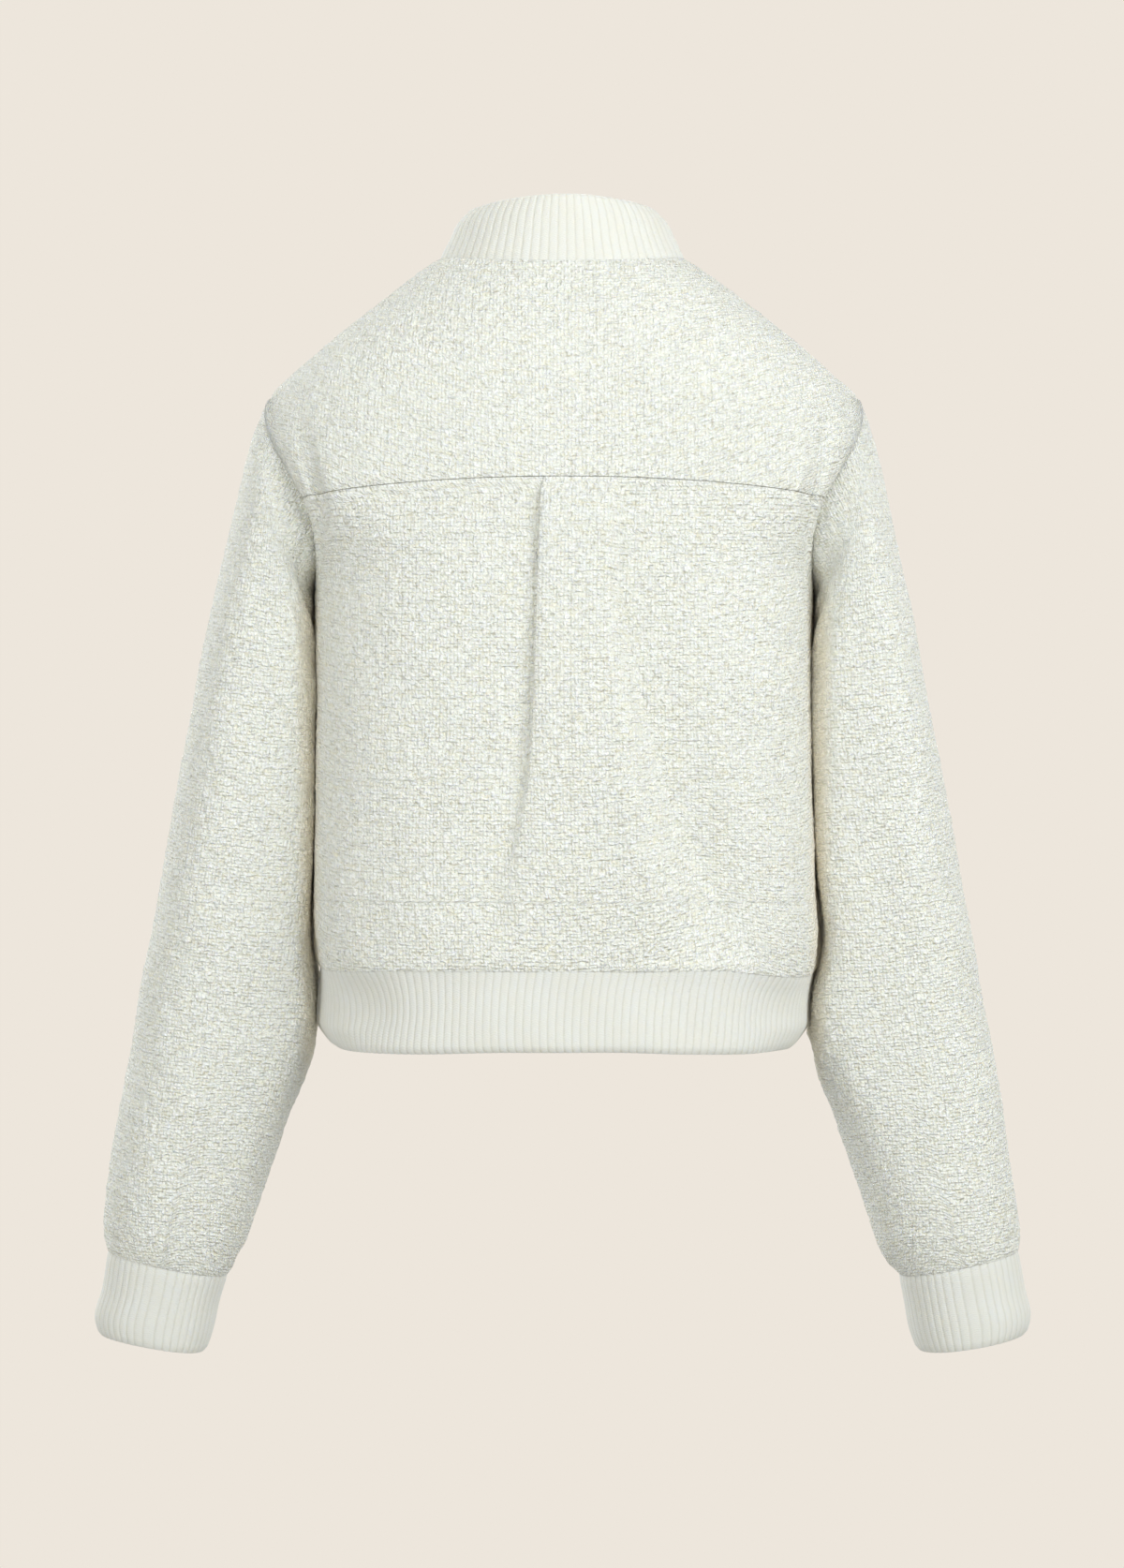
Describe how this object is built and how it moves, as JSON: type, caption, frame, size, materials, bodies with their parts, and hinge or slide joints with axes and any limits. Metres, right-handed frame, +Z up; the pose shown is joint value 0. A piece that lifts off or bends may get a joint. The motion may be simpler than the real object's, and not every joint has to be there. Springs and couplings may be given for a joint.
{
  "type": "bomber jacket",
  "caption": "Cropped bomber jacket in boucle tweed with rib collar, cuffs and hem, a back yoke with a box pleat and a front zip, filled out as if worn.",
  "frame": {"origin": "base of the wearer's neck, midway between the shoulder seams", "axes": "+Z up, -Y towards the front of the jacket, +X towards the wearer's left"},
  "size_m": [0.631, 0.2281, 0.7669],
  "materials": {
    "boucle": "off-white boucle tweed, slubby basket weave, matt",
    "rib": "off-white rib knit, matt",
    "tape": "woven twill tape, matt",
    "metal": "satin plated"
  },
  "bodies": {
    "jacket": {"back_yoke": "boucle", "back_panel": "boucle", "front_left": "boucle", "front_right": "boucle", "sleeve_left": "boucle", "sleeve_right": "boucle", "collar": "rib", "hem_band": "rib", "cuff_left": "rib", "cuff_right": "rib", "zip_tape_left": "tape", "zip_tape_right": "tape", "zip_chain": "metal", "zip_slider": "metal", "zip_bottom_box": "metal"},
    "pull_tab": {"zip_pull_tab": "metal"}
  },
  "joints": [
    {"name": "pull_tab_hinge", "type": "hinge", "parent": "jacket", "child": "pull_tab", "pos_m": [0, -0.0942, -0.08744], "axis": [-1, 0, 0], "range_deg": [0, 165]}
  ]
}
